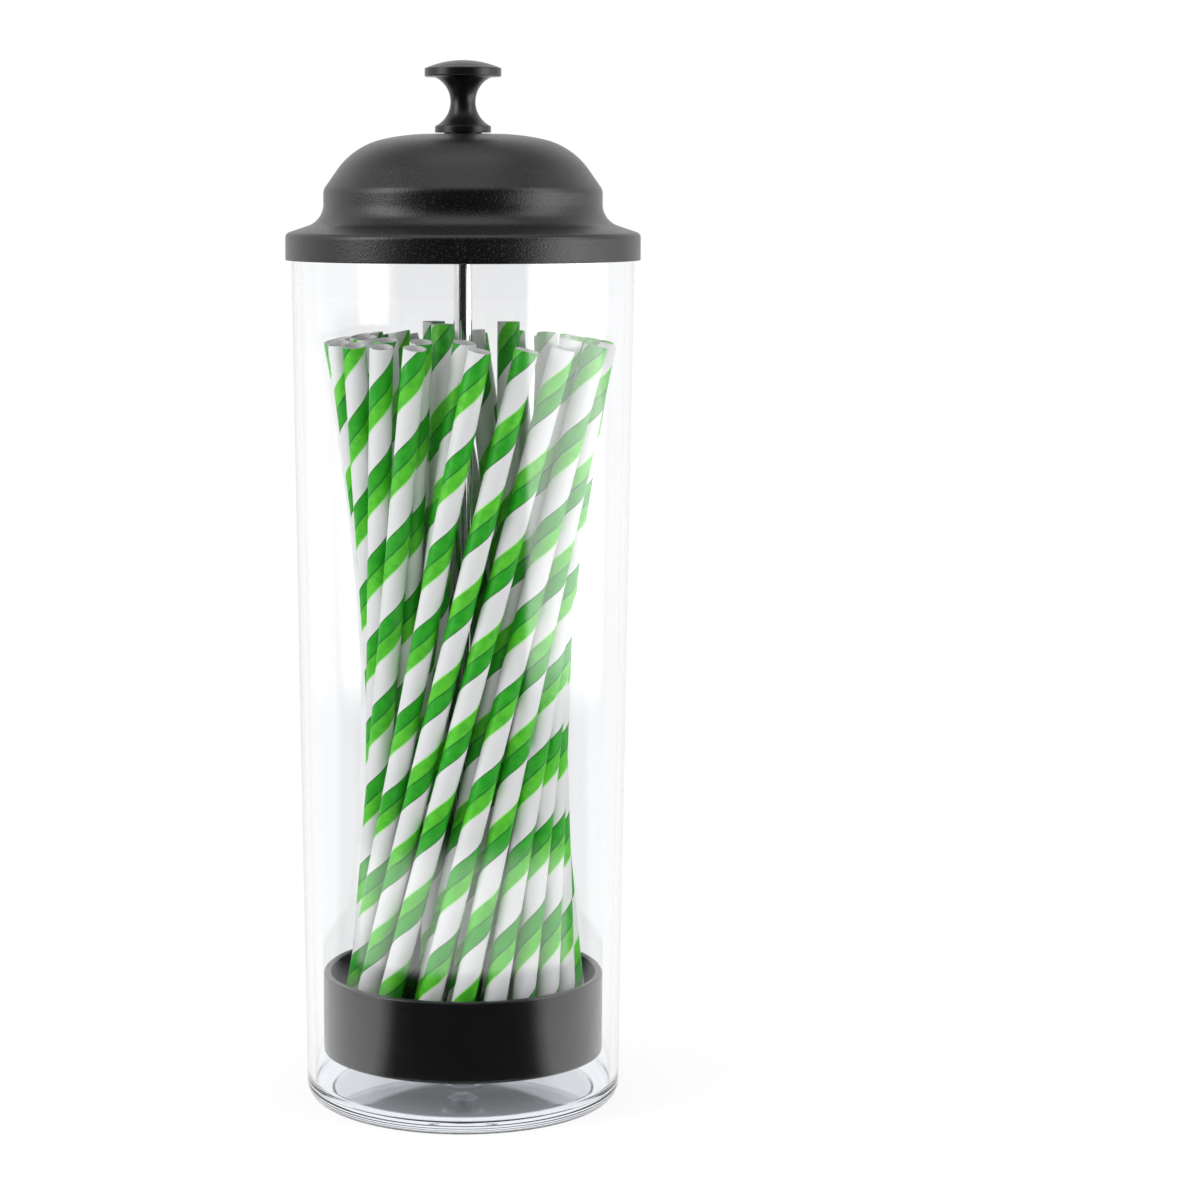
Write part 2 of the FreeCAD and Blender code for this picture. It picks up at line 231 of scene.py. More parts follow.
@dataclass(frozen=True)
class GrainedPlastic:
    """Black moulding with a fine, dull grain, as on the lid."""

    name: str = "lid_black"
    colour: Colour = (0.0022, 0.0022, 0.0024, 1.0)
    pale: Colour = (0.020, 0.020, 0.0205, 1.0)
    pale_share: float = 0.7
    speck_edge: Span = (0.52, 0.72)
    roughness: float = 0.34
    speck_rough: float = 0.10
    speck_lift: float = 0.8
    rough_swing: float = 0.06
    grain: float = 0.55 * MM
    coarse: float = 2.2 * MM
    cloud: float = 14 * MM
    depth: float = 0.08 * MM
    ior: float = 1.55

    def make(self) -> bpy.types.Material:
        """Build the finish.

        Returns:
            Its material.
        """
        graph = Graph(bpy.data.materials.new(self.name))
        place = graph.object_place()
        grain = graph.noise(place, self.grain, detail=3.0)
        coarse = graph.noise(place, self.coarse)
        swing = (graph.noise(place, self.cloud) + coarse - 1.0) * self.rough_swing
        speck = grain.ramp(*self.speck_edge)
        relief = grain * self.speck_lift + coarse * (1 - self.speck_lift)
        surface = graph.principled(
            {
                "Base Color": graph.mix(speck * self.pale_share, self.colour, self.pale),
                "Roughness": self.roughness + swing + speck * self.speck_rough,
                "Normal": graph.bump(relief, self.depth),
                "IOR": self.ior,
            }
        )
        return graph.close(surface)


@dataclass(frozen=True)
class SatinPlastic:
    """Black moulding with a satin face and, where it has a rim, a painted highlight: a slightly paler band
    along the rim's top.
    """

    name: str
    colour: Colour
    roughness: float
    rim_height: float = 0.0
    rim_highlight_share: float = 0.0
    rim_highlight_colour: Colour = (0.10, 0.10, 0.105, 1.0)
    rim_highlight_depth: float = 0.5 * MM
    rim_rough: float = 0.5
    streak: float = 3.0 * MM
    streak_draw: Spot = (1.0, 1.0, 0.06)
    streak_rough: float = 0.08
    pit: float = 0.5 * MM
    pit_depth: float = 0.003 * MM
    ior: float = 1.5

    def make(self) -> bpy.types.Material:
        """Build the finish.

        Returns:
            Its material.
        """
        graph = Graph(bpy.data.materials.new(self.name))
        place = graph.object_place()
        streaks = graph.noise(graph.stretched(place, self.streak_draw), self.streak, detail=3.0)
        # Painted highlight: the top of the rim is coloured paler and made a little rougher, standing in for
        # light caught there.
        rim = (graph.parts(place).out("Z") - self.rim_height).ramp(-self.rim_highlight_depth, 0.0) * self.rim_highlight_share
        surface = graph.principled(
            {
                "Base Color": graph.mix(rim, self.colour, self.rim_highlight_colour),
                "Roughness": self.roughness + (streaks - 0.5) * self.streak_rough + rim * self.rim_rough,
                "Normal": graph.bump(graph.noise(place, self.pit), self.pit_depth),
                "IOR": self.ior,
            }
        )
        return graph.close(surface)


@dataclass(frozen=True)
class BrightMetal:
    """Metal with fine marks drawn out along or round a piece."""

    name: str
    colour: Colour
    stain: Colour
    roughness: float
    mark_draw: Spot
    mark: float = 0.3 * MM
    mark_rough: float = 0.05
    mark_depth: float = 0.0015 * MM
    cloud: float = 6 * MM
    cloud_edge: Span = (0.5, 0.8)
    cloud_rough: float = 0.03
    stain_edge: Span = (0.45, 0.75)
    stain_share: float = 0.5

    def make(self) -> bpy.types.Material:
        """Build the finish.

        Returns:
            Its material.
        """
        graph = Graph(bpy.data.materials.new(self.name))
        place = graph.object_place()
        marks = graph.noise(graph.stretched(place, self.mark_draw), self.mark, detail=4.0)
        cloud = graph.noise(place, self.cloud)
        dull = (marks - 0.5) * self.mark_rough + cloud.ramp(*self.cloud_edge) * self.cloud_rough
        stained = cloud.ramp(*self.stain_edge) * self.stain_share
        surface = graph.principled(
            {
                "Base Color": graph.mix(stained, self.colour, self.stain),
                "Metallic": 1.0,
                "Roughness": self.roughness + dull,
                "Normal": graph.bump(marks, self.mark_depth),
            }
        )
        return graph.close(surface)


@dataclass(frozen=True)
class ClearPlastic:
    """Clear polished moulding that lets the lamps through to what stands inside."""

    name: str = "jar_clear"
    tint: Colour = (0.966, 0.970, 0.976, 1.0)
    foot_tint: Colour = (0.88, 0.925, 1.0, 1.0)
    foot_height: float = 10 * MM
    open_tint: Colour = (0.98, 0.982, 0.985, 1.0)
    ior: float = 1.49
    flow: float = 9 * MM
    flow_draw: Spot = (1.0, 1.0, 0.12)
    wave: float = 0.004 * MM
    scuff: float = 2.5 * MM
    scuff_edge: Span = (0.62, 0.8)
    scuff_rough: float = 0.02

    def make(self) -> bpy.types.Material:
        """Build the finish.

        Returns:
            Its material.
        """
        graph = Graph(bpy.data.materials.new(self.name))
        place = graph.object_place()
        flow = graph.noise(graph.stretched(place, self.flow_draw), self.flow, detail=1.0)
        scuff = graph.noise(place, self.scuff, detail=4.0).ramp(*self.scuff_edge)
        foot = graph.parts(place).out("Z").ramp(self.foot_height, 0.0)
        clear = graph.principled(
            {
                "Base Color": graph.mix(foot, self.tint, self.foot_tint),
                "Roughness": scuff * self.scuff_rough,
                "Transmission Weight": 1.0,
                "IOR": self.ior,
                "Normal": graph.bump(flow, self.wave),
            }
        )
        through = graph.add("ShaderNodeBsdfTransparent", None, {"Color": self.open_tint})
        path = graph.add("ShaderNodeLightPath")
        lamps = path.out("Is Shadow Ray").at_least(path.out("Is Diffuse Ray"))
        surface = graph.over(lamps, clear, through)
        return graph.close(surface)


@dataclass(frozen=True)
class PrintedPaper:
    """White paper wound into a tube, with a spiral of two greens printed on it.

    The pattern reads the piece's UV map: once round in U, and one turn of the spiral in V.
    """

    name: str = "straw_print"
    paper: Colour = grey(0.90)
    dull_paper: Colour = (0.78, 0.775, 0.775, 1.0)
    dull_share: float = 0.15
    light: Colour = (0.118, 0.700, 0.024, 1.0)
    light_wash: Colour = (0.068, 0.530, 0.019, 1.0)
    deep: Colour = (0.009, 0.390, 0.007, 1.0)
    deep_wash: Colour = (0.034, 0.500, 0.012, 1.0)
    seam: Colour = (0.002, 0.150, 0.030, 1.0)
    foot: Colour = (0.004, 0.095, 0.006, 1.0)
    border: Colour = (0.56, 0.93, 0.44, 1.0)
    green_share: float = 0.53
    line_width: float = 0.020
    line_share: float = 0.85
    line_core: float = 0.35
    border_widths: float = 1.6
    wound_widths: float = 1.5
    wound_depth: float = 0.75
    edge: float = 0.006
    fibre: float = 0.7 * MM
    fibre_edge: Span = (0.35, 0.75)
    dull_edge: Span = (0.35, 0.85)
    blot: float = 2.6 * MM
    blot_edge: Span = (0.38, 0.68)
    blot_share: float = 0.75
    wander: float = 5 * MM
    wander_turns: float = 0.014
    roughness: float = 0.42
    fibre_rough: float = 0.16
    ink_smooth: float = 0.08
    depth: float = 0.03 * MM
    ior: float = 1.45

    def line(self, turn: Wire, middle: float, width: float) -> Wire:
        """1 on a thin line along the spiral and 0 off it, by its middle and half width in turns."""
        return (turn - middle).size().ramp(width, width * self.line_core)

    def inks(self, graph: Graph, turn: Wire, wash: Wire) -> Wire:
        """The two greens with the lines that part and border them.

        Args:
            graph: The material's graph.
            turn: Place across the bands, in turns.
            wash: How far the ink has run, from 0 to 1.

        Returns:
            The colour.
        """
        middle = self.green_share / 2
        width = self.line_width
        upper = turn.ramp(middle - self.edge, middle + self.edge)
        lit = graph.mix(wash, self.light, self.light_wash)
        dark = graph.mix(wash, self.deep, self.deep_wash)
        inks = graph.mix(upper, dark, lit)
        inks = graph.mix(self.line(turn, middle, width) * self.line_share, inks, self.seam)
        inks = graph.mix(self.line(turn, width / 2, width) * self.line_share, inks, self.foot)
        return graph.mix(self.line(turn, self.green_share, self.border_widths * width), inks, self.border)

    def make(self) -> bpy.types.Material:
        """Build the finish.

        Returns:
            Its material.
        """
        graph = Graph(bpy.data.materials.new(self.name))
        place = graph.object_place()
        cells = graph.add("ShaderNodeUVMap", {"uv_map": PRINT_MAP})
        parts = graph.parts(cells)
        fibre = graph.noise(place, self.fibre, detail=4.0)
        blot = graph.noise(place, self.blot, detail=3.0)
        wander = (graph.noise(place, self.wander) - 0.5) * self.wander_turns
        turn = (parts.out("Y") - parts.out("X") + wander).fraction()
        share = self.green_share
        green = turn.ramp(share + self.edge, share - self.edge) * turn.ramp(0.0, 2 * self.edge)
        wash = blot.ramp(*self.blot_edge) * self.blot_share
        wash = wash + fibre.ramp(*self.fibre_edge) * (1 - self.blot_share)
        paper = graph.mix(fibre.ramp(*self.dull_edge) * self.dull_share, self.paper, self.dull_paper)
        wound = self.line(turn, share, self.wound_widths * self.line_width)
        relief = fibre * (1 - self.wound_depth) + (1.0 - wound) * self.wound_depth
        surface = graph.principled(
            {
                "Base Color": graph.mix(green, paper, self.inks(graph, turn, wash)),
                "Roughness": self.roughness + fibre * self.fibre_rough - green * self.ink_smooth,
                "Normal": graph.bump(relief, self.depth),
                "IOR": self.ior,
            }
        )
        return graph.close(surface)


@dataclass(frozen=True)
class PlainPaper:
    """Uncoated white paper: the inside and the cut ends of a straw."""

    name: str = "straw_paper"
    paper: Colour = (0.84, 0.84, 0.83, 1.0)
    shaded: Colour = (0.72, 0.73, 0.71, 1.0)
    shaded_edge: Span = (0.4, 0.8)
    shaded_share: float = 0.6
    fibre: float = 0.25 * MM
    depth: float = 0.02 * MM
    roughness: float = 0.75
    fibre_rough: float = 0.2

    def make(self) -> bpy.types.Material:
        """Build the finish.

        Returns:
            Its material.
        """
        graph = Graph(bpy.data.materials.new(self.name))
        fibre = graph.noise(graph.object_place(), self.fibre, detail=4.0)
        shade = fibre.ramp(*self.shaded_edge) * self.shaded_share
        surface = graph.principled(
            {
                "Base Color": graph.mix(shade, self.paper, self.shaded),
                "Roughness": self.roughness + fibre * self.fibre_rough,
                "Normal": graph.bump(fibre, self.depth),
            }
        )
        return graph.close(surface)


# Modelling by hand


def pick_none() -> None:
    """Leave edit mode and deselect every object."""
    if bpy.context.object and bpy.context.object.mode != "OBJECT":
        bpy.ops.object.mode_set(mode="OBJECT")
    bpy.ops.object.select_all(action="DESELECT")


def smooth(piece: bpy.types.Object, degrees: float) -> None:
    """Shade a piece smooth, with its sharper edges kept.

    Args:
        piece: The piece.
        degrees: The angle past which an edge stays sharp.
    """
    pick_none()
    piece.select_set(True)
    bpy.context.view_layer.objects.active = piece
    bpy.ops.object.shade_smooth_by_angle(angle=math.radians(degrees))


@dataclass
class Section:
    """Half of a turned section, as points of radius and height.

    A long straight stretch gets a point close to each end, so that the rounding beside it
    doesn't bend its shading.
    """

    points: list[Point] = field(default_factory=list)
    long: float = 0.8 * MM
    hold: float = 0.2 * MM
    touching: float = 1e-7

    def add(self, radius: float, height: float) -> None:
        """Add a point, unless the pen is there already."""
        if not self.points or math.dist(self.points[-1], (radius, height)) > self.touching:
            self.points.append((radius, height))

    def to(self, radius: float, height: float) -> Section:
        """Go straight to a point.

        Args:
            radius: Distance from the axis.
            height: Height above the foot.

        Returns:
            The section, for the next stretch.
        """
        if self.points:
            start = Vector(self.points[-1])
            way = Vector((radius, height)) - start
            if way.length > self.long:
                step = way.normalized() * self.hold
                self.add(*(start + step))
                self.add(*(start + way - step))
        self.add(radius, height)
        return self

    def arc(self, centre: Point, radius: float, start: float, end: float, steps: int = 6) -> Section:
        """Go to the start of an arc about a centre, then round it to its end.

        Args:
            centre: Radius and height of the arc's centre.
            radius: The arc's own radius.
            start: Angle of its start in degrees.
            end: Angle of its end in degrees.
            steps: Number of stretches along it.

        Returns:
            The section, for the next stretch.
        """
        for i in range(steps + 1):
            angle = math.radians(start + (end - start) * i / steps)
            draw = self.add if i else self.to
            draw(centre[0] + radius * math.cos(angle), centre[1] + radius * math.sin(angle))
        return self

    def turn(self, name: str, facets: int, sharp: float = 35.0) -> bpy.types.Object:
        """Draw the section as a chain of edges and spin it about Z into a closed solid.

        Args:
            name: The piece's name.
            facets: How many there are round it.
            sharp: Edges sharper than this many degrees stay sharp.

        Returns:
            The piece, at the origin.
        """
        pick_none()
        bpy.ops.mesh.primitive_plane_add(size=MM, location=(0.0, 0.0, 0.0))
        piece = bpy.context.object
        piece.name = piece.data.name = name
        bpy.ops.object.mode_set(mode="EDIT")
        bpy.ops.mesh.select_all(action="SELECT")
        bpy.ops.mesh.merge(type="CENTER")
        here = self.points[0]
        bpy.ops.transform.translate(value=(here[0], 0.0, here[1]))
        if here[0] > 0.0:
            self.to(*here)
        for there in self.points[1:]:
            move = (there[0] - here[0], 0.0, there[1] - here[1])
            bpy.ops.mesh.extrude_region_move(TRANSFORM_OT_translate={"value": move})
            here = there
        bpy.ops.mesh.select_all(action="SELECT")
        bpy.ops.mesh.remove_doubles(threshold=self.touching)
        bpy.ops.mesh.spin(steps=facets, angle=2 * math.pi, center=(0.0, 0.0, 0.0), axis=(0.0, 0.0, 1.0))
        bpy.ops.mesh.select_all(action="SELECT")
        bpy.ops.mesh.remove_doubles(threshold=self.touching)
        bpy.ops.mesh.normals_make_consistent(inside=False)
        bpy.ops.object.mode_set(mode="OBJECT")
        smooth(piece, sharp)
        return piece


def dress(piece: bpy.types.Object, *materials: bpy.types.Material) -> None:
    """Give a piece its materials.

    Args:
        piece: The piece.
        materials: One for each of its slots, in order.
    """
    piece.data.materials.clear()
    for material in materials:
        piece.data.materials.append(material)


def stand_in(piece: bpy.types.Object, node: str, body: str) -> None:
    """Let a piece stand for a node and move with its body.

    Args:
        piece: The piece.
        node: The solid that it replaces.
        body: The body that it rides on.
    """
    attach(piece, body)
    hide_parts(node)
    LOG.info("%s: %d faces, on %s", piece.name, len(piece.data.polygons), body)


# The dispenser


@dataclass
class Jar:
    """The clear jar: foot, drafted wall, rounded rim and the ring left by the moulding gate."""

    height: float = 233.6 * MM
    base_r: float = 42.5 * MM
    mouth_r: float = 45.5 * MM
    wall: float = 2.2 * MM
    floor_top: float = 3.6 * MM
    corner_r: float = 4.5 * MM
    inner_corner_r: float = 3.0 * MM
    rim_round: float = 0.6 * MM
    recess_r: float = 35.0 * MM
    recess_depth: float = 0.8 * MM
    gate_r: float = 6.3 * MM
    gate_width: float = 1.0 * MM
    gate_height: float = 0.5 * MM
    gate_round: float = 0.2 * MM
    facets: int = 192
    sharp: float = 50.0
    finish: ClearPlastic = ClearPlastic()

    def outer_r(self, height: float) -> float:
        """Radius of the outside at a height."""
        return self.base_r + (self.mouth_r - self.base_r) * height / self.height

    def inner_r(self, height: float) -> float:
        """Radius of the inside at a height."""
        return self.outer_r(height) - self.wall

    def section(self) -> Section:
        """Draw half of the jar's section.

        Returns:
            The section, from the middle of the foot round to the middle of the floor.
        """
        top = self.height
        rim = self.rim_round
        corner_z = self.floor_top + self.inner_corner_r
        foot = (self.outer_r(self.corner_r) - self.corner_r, self.corner_r)
        floor = (self.inner_r(corner_z) - self.inner_corner_r, corner_z)
        gate_top = self.floor_top + self.gate_height
        bend = self.gate_round
        half = Section().to(0.0, self.recess_depth)
        half.to(self.recess_r, self.recess_depth).to(self.recess_r + self.recess_depth, 0.0)
        half.arc(foot, self.corner_r, -90, 0, steps=12)
        half.arc((self.outer_r(top) - rim, top - rim), rim, 0, 90)
        half.arc((self.inner_r(top) + rim, top - rim), rim, 90, 180)
        half.arc(floor, self.inner_corner_r, 0, -90, steps=10)
        half.to(self.gate_r, self.floor_top)
        half.arc((self.gate_r - bend, gate_top - bend), bend, 0, 90, steps=4)
        inner = self.gate_r - self.gate_width
        half.arc((inner + bend, gate_top - bend), bend, 90, 180, steps=4)
        return half.to(inner, self.floor_top).to(0.0, self.floor_top)

    def build(self) -> None:
        """Turn the jar and dress it."""
        piece = self.section().turn("clear_jar", self.facets, self.sharp)
        dress(piece, self.finish.make())
        stand_in(piece, "jar", "jar")


@dataclass
class Lid:
    """The domed lid: crown, shoulder, neck, flare and brim, with a plug ring inside."""

    jar: Jar
    side_clearance: float = 0.3 * MM
    skirt_wall: float = 1.2 * MM
    skirt_depth: float = 6.4 * MM
    wall: float = 1.8 * MM
    crown_rise: float = 26.6 * MM
    flat_r: float = 9.0 * MM
    neck_r: float = 36.9 * MM
    shoulder_r: float = 20.0 * MM
    shoulder_drop: float = 20.9 * MM
    shoulder_end: float = 55.0
    knee_r: float = 3.0 * MM
    flare_r: float = 6.0 * MM
    flare_rise: float = 8.3 * MM
    brim_slope: float = 17.0
    brim_round: float = 1.5 * MM
    brim_band: float = 5.9 * MM
    brim_edge: float = 0.15 * MM
    plug_wall: float = 1.5 * MM
    plug_depth: float = 4.8 * MM
    boss_r: float = 8.0 * MM
    boss_depth: float = 1.2 * MM
    bore_r: float = 2.05 * MM
    facets: int = 160
    finish: GrainedPlastic = GrainedPlastic()

    @property
    def crown_z(self) -> float:
        """Height of the crown's flat, where the knob stands."""
        return self.jar.height + self.crown_rise

    def section(self) -> Section:
        """Draw half of the lid's section.

        Returns:
            The section, from the bore over the outside and back along the inside.
        """
        across = self.neck_r - self.shoulder_r - self.flat_r
        drop = self.shoulder_drop
        crown_r = (drop**2 + across**2 - self.shoulder_r**2) / (2 * (drop - self.shoulder_r))
        meet = 90 - math.degrees(math.asin(across / (crown_r - self.shoulder_r)))
        crown = (self.flat_r, self.crown_z - crown_r)
        shoulder = (self.neck_r - self.shoulder_r, self.crown_z - drop)
        end = 90 - self.shoulder_end
        slope = math.radians(self.shoulder_end)
        knee_x = self.neck_r - self.knee_r
        throw = self.shoulder_r - self.knee_r
        reach = knee_x - shoulder[0] - throw * math.sin(slope)
        knee = (knee_x, shoulder[1] + throw * math.cos(slope) - reach * math.tan(slope))
        flare = (self.neck_r + self.flare_r, self.jar.height + self.flare_rise)
        skirt_in = self.jar.mouth_r + self.side_clearance
        skirt_out = skirt_in + self.skirt_wall
        skirt_z = self.jar.height - self.skirt_depth
        band_z = skirt_z + self.brim_band
        plug_out = self.jar.mouth_r - self.jar.wall - self.side_clearance
        plug_in = plug_out - self.plug_wall
        plug_z = self.jar.height - self.plug_depth
        boss_z = self.crown_z - self.wall - self.boss_depth
        edge = self.brim_edge
        thin = self.wall
        inner_flare = self.flare_r + thin
        meet_plug = 180 + math.degrees(math.acos((flare[0] - plug_in) / inner_flare))

        half = Section().to(self.bore_r, boss_z).to(self.bore_r, self.crown_z)
        half.arc(crown, crown_r, 90, meet, steps=10)
        half.arc(shoulder, self.shoulder_r, meet, end, steps=16)
        half.arc(knee, self.knee_r, end, 0, steps=8)
        half.arc(flare, self.flare_r, 180, 270 - self.brim_slope, steps=14)
        half.arc((skirt_out - self.brim_round, band_z), self.brim_round, 90 - self.brim_slope, 0, steps=8)
        half.arc((skirt_out - edge, skirt_z + edge), edge, 0, -90, steps=3)
        half.to(skirt_in, skirt_z).to(skirt_in, self.jar.height).to(plug_out, self.jar.height)
        half.to(plug_out, plug_z).to(plug_in, plug_z)
        half.arc(flare, inner_flare, meet_plug, 180, steps=12)
        half.arc(knee, self.knee_r - thin, 0, end)
        half.arc(shoulder, self.shoulder_r - thin, end, meet, steps=12)
        half.arc(crown, crown_r - thin, meet, 90, steps=8)
        return half.to(self.boss_r, self.crown_z - thin).to(self.boss_r, boss_z)

    def build(self) -> None:
        """Turn the lid and dress it."""
        piece = self.section().turn("domed_lid", self.facets)
        dress(piece, self.finish.make())
        stand_in(piece, "lid_shell", "lid")


@dataclass
class Knob:
    """The pull knob: pad, base flange, waisted neck, broad disc and low crown."""

    base_height: float
    pad_r: float = 5.0 * MM
    pad_height: float = 0.4 * MM
    flange_r: float = 7.4 * MM
    flange_height: float = 1.8 * MM
    flange_round: float = 0.4 * MM
    waist_r: float = 3.3 * MM
    waist_rise: float = 8.0 * MM
    curve_r: float = 7.0 * MM
    disc_r: float = 10.1 * MM
    disc_rise: float = 14.5 * MM
    disc_band: float = 2.3 * MM
    disc_round: float = 0.3 * MM
    crown_rise: float = 2.0 * MM
    bore_r: float = 2.05 * MM
    bore_depth: float = 10.0 * MM
    facets: int = 96
    finish: SatinPlastic = SatinPlastic("knob_black", (0.004, 0.004, 0.0042, 1.0), 0.33)

    def section(self) -> Section:
        """Draw half of the knob's section.

        Returns:
            The section, from the bore over the outside to the top.
        """
        base_z = self.base_height + self.pad_height
        flange_top = base_z + self.flange_height
        disc_z = base_z + self.disc_rise
        disc_top = disc_z + self.disc_band
        waist = (self.waist_r + self.curve_r, base_z + self.waist_rise)
        low = 180 + math.degrees(math.asin((waist[1] - flange_top) / self.curve_r))
        high = 180 - math.degrees(math.asin((disc_z - waist[1]) / self.curve_r))
        edge = self.disc_round
        crown_edge = self.disc_r - edge
        crown_r = (crown_edge**2 + self.crown_rise**2) / (2 * self.crown_rise)
        crown = (0.0, disc_top + self.crown_rise - crown_r)
        crown_deg = math.degrees(math.acos(crown_edge / crown_r))
        bore_top = self.base_height + self.bore_depth

        half = Section().to(0.0, bore_top).to(self.bore_r, bore_top).to(self.bore_r, self.base_height)
        half.to(self.pad_r, self.base_height).to(self.pad_r, base_z).to(self.flange_r, base_z)
        bend = self.flange_round
        half.arc((self.flange_r - bend, flange_top - bend), bend, 0, 90, steps=4)
        half.arc(waist, self.curve_r, low, high, steps=20)
        half.arc((crown_edge, disc_z + edge), edge, -90, 0, steps=4)
        half.arc((crown_edge, disc_top - edge), edge, 0, 90, steps=4)
        return half.arc(crown, crown_r, crown_deg, 90, steps=10)

    def build(self) -> None:
        """Turn the knob and dress it."""
        piece = self.section().turn("pull_knob", self.facets)
        dress(piece, self.finish.make())
        stand_in(piece, "knob", "lifter")


@dataclass
class Tray:
    """The tray: a shallow cup with a raised boss round the rod."""

    radius: float = 38.0 * MM
    wall: float = 2.0 * MM
    height: float = 22.0 * MM
    bottom: float = 13.4 * MM
    floor: float = 2.0 * MM
    edge_round: float = 1.0 * MM
    rim_round: float = 0.6 * MM
    inner_round: float = 0.5 * MM
    boss_r: float = 7.0 * MM
    boss_height: float = 1.6 * MM
    bore_r: float = 2.55 * MM
    facets: int = 144
    colour: Colour = (0.004, 0.004, 0.0045, 1.0)
    roughness: float = 0.26
    # Share of the painted highlight along the tray's rim.
    rim_highlight_share: float = 0.12

    @property
    def top(self) -> float:
        """Height of the rim."""
        return self.bottom + self.height

    def section(self) -> Section:
        """Draw half of the tray's section.

        Returns:
            The section, from the bore under the floor and over the rim.
        """
        inner = self.radius - self.wall
        top = self.top
        floor = self.bottom + self.floor
        edge = self.edge_round
        rim = self.rim_round
        bend = self.inner_round
        half = Section().to(self.bore_r, self.bottom)
        half.arc((self.radius - edge, self.bottom + edge), edge, -90, 0)
        half.arc((self.radius - rim, top - rim), rim, 0, 90)
        half.arc((inner + rim, top - rim), rim, 90, 180)
        half.arc((inner - bend, floor + bend), bend, 0, -90, steps=4)
        half.to(self.boss_r, floor).to(self.boss_r, floor + self.boss_height)
        return half.to(self.bore_r, floor + self.boss_height)

    def build(self) -> None:
        """Turn the tray and dress it."""
        piece = self.section().turn("straw_tray", self.facets)
        finish = SatinPlastic("tray_black", self.colour, self.roughness, self.top, self.rim_highlight_share)
        dress(piece, finish.make())
        stand_in(piece, "tray", "lifter")


@dataclass
class Rod:
    """The lift rod, with the stud that the knob screws on and the fastenings at both ends."""

    radius: float = 2.5 * MM
    stud_r: float = 2.0 * MM
    chamfer: float = 0.5 * MM
    bottom: float = 7.4 * MM
    shoulder: float = 253.1 * MM
    tip: float = 269.6 * MM
    facets: int = 64
    steel: BrightMetal = BrightMetal(
        "rod_steel",
        colour=grey(0.80),
        stain=(0.72, 0.72, 0.73, 1.0),
        roughness=0.09,
        mark_draw=(1.0, 1.0, 0.04),
    )
    zinc: BrightMetal = BrightMetal(
        "hardware_zinc",
        colour=(0.66, 0.67, 0.68, 1.0),
        stain=(0.52, 0.53, 0.55, 1.0),
        roughness=0.24,
        mark_draw=(0.2, 0.2, 1.0),
    )
    fastened: tuple[str, ...] = ("lid", "tray_upper", "tray_lower")

    def section(self) -> Section:
        """Draw half of the rod's section.

        Returns:
            The section, from the lower end to the stud's tip.
        """
        half = Section().to(0.0, self.bottom).to(self.radius - self.chamfer, self.bottom)
        half.to(self.radius, self.bottom + self.chamfer).to(self.radius, self.shoulder)
        half.to(self.stud_r, self.shoulder).to(self.stud_r, self.tip - self.chamfer)
        return half.to(self.stud_r - self.chamfer, self.tip).to(0.0, self.tip)

    def build(self, nodes: dict[str, bpy.types.Object]) -> None:
        """Turn the rod, and finish the fastenings that are carried over.

        Args:
            nodes: The solids of the frame by name.
        """
        piece = self.section().turn("polished_rod", self.facets)
        dress(piece, self.steel.make())
        stand_in(piece, "lift_rod", "lifter")
        plate = self.zinc.make()
        for name in [place + kind for place in self.fastened for kind in ("_washer", "_nut")]:
            dress(nodes[name], plate)
            LOG.info("%s: zinc plated", name)


class WayUp(Enum):
    """Which end of a straw stands in the tray, which swaps the order of the two greens."""

    LIGHT_ABOVE = 1
    DARK_ABOVE = -1


@dataclass(frozen=True)
class Print:
    """How the print of one straw lies: which way up it stands, and the turn of its spiral at the foot."""

    way: WayUp
    start: float

    def place(self, across: float, along: float) -> Point:
        """A point's place on the print, from its place round and along the straw, in turns."""
        return across * self.way.value, along * self.way.value + self.start


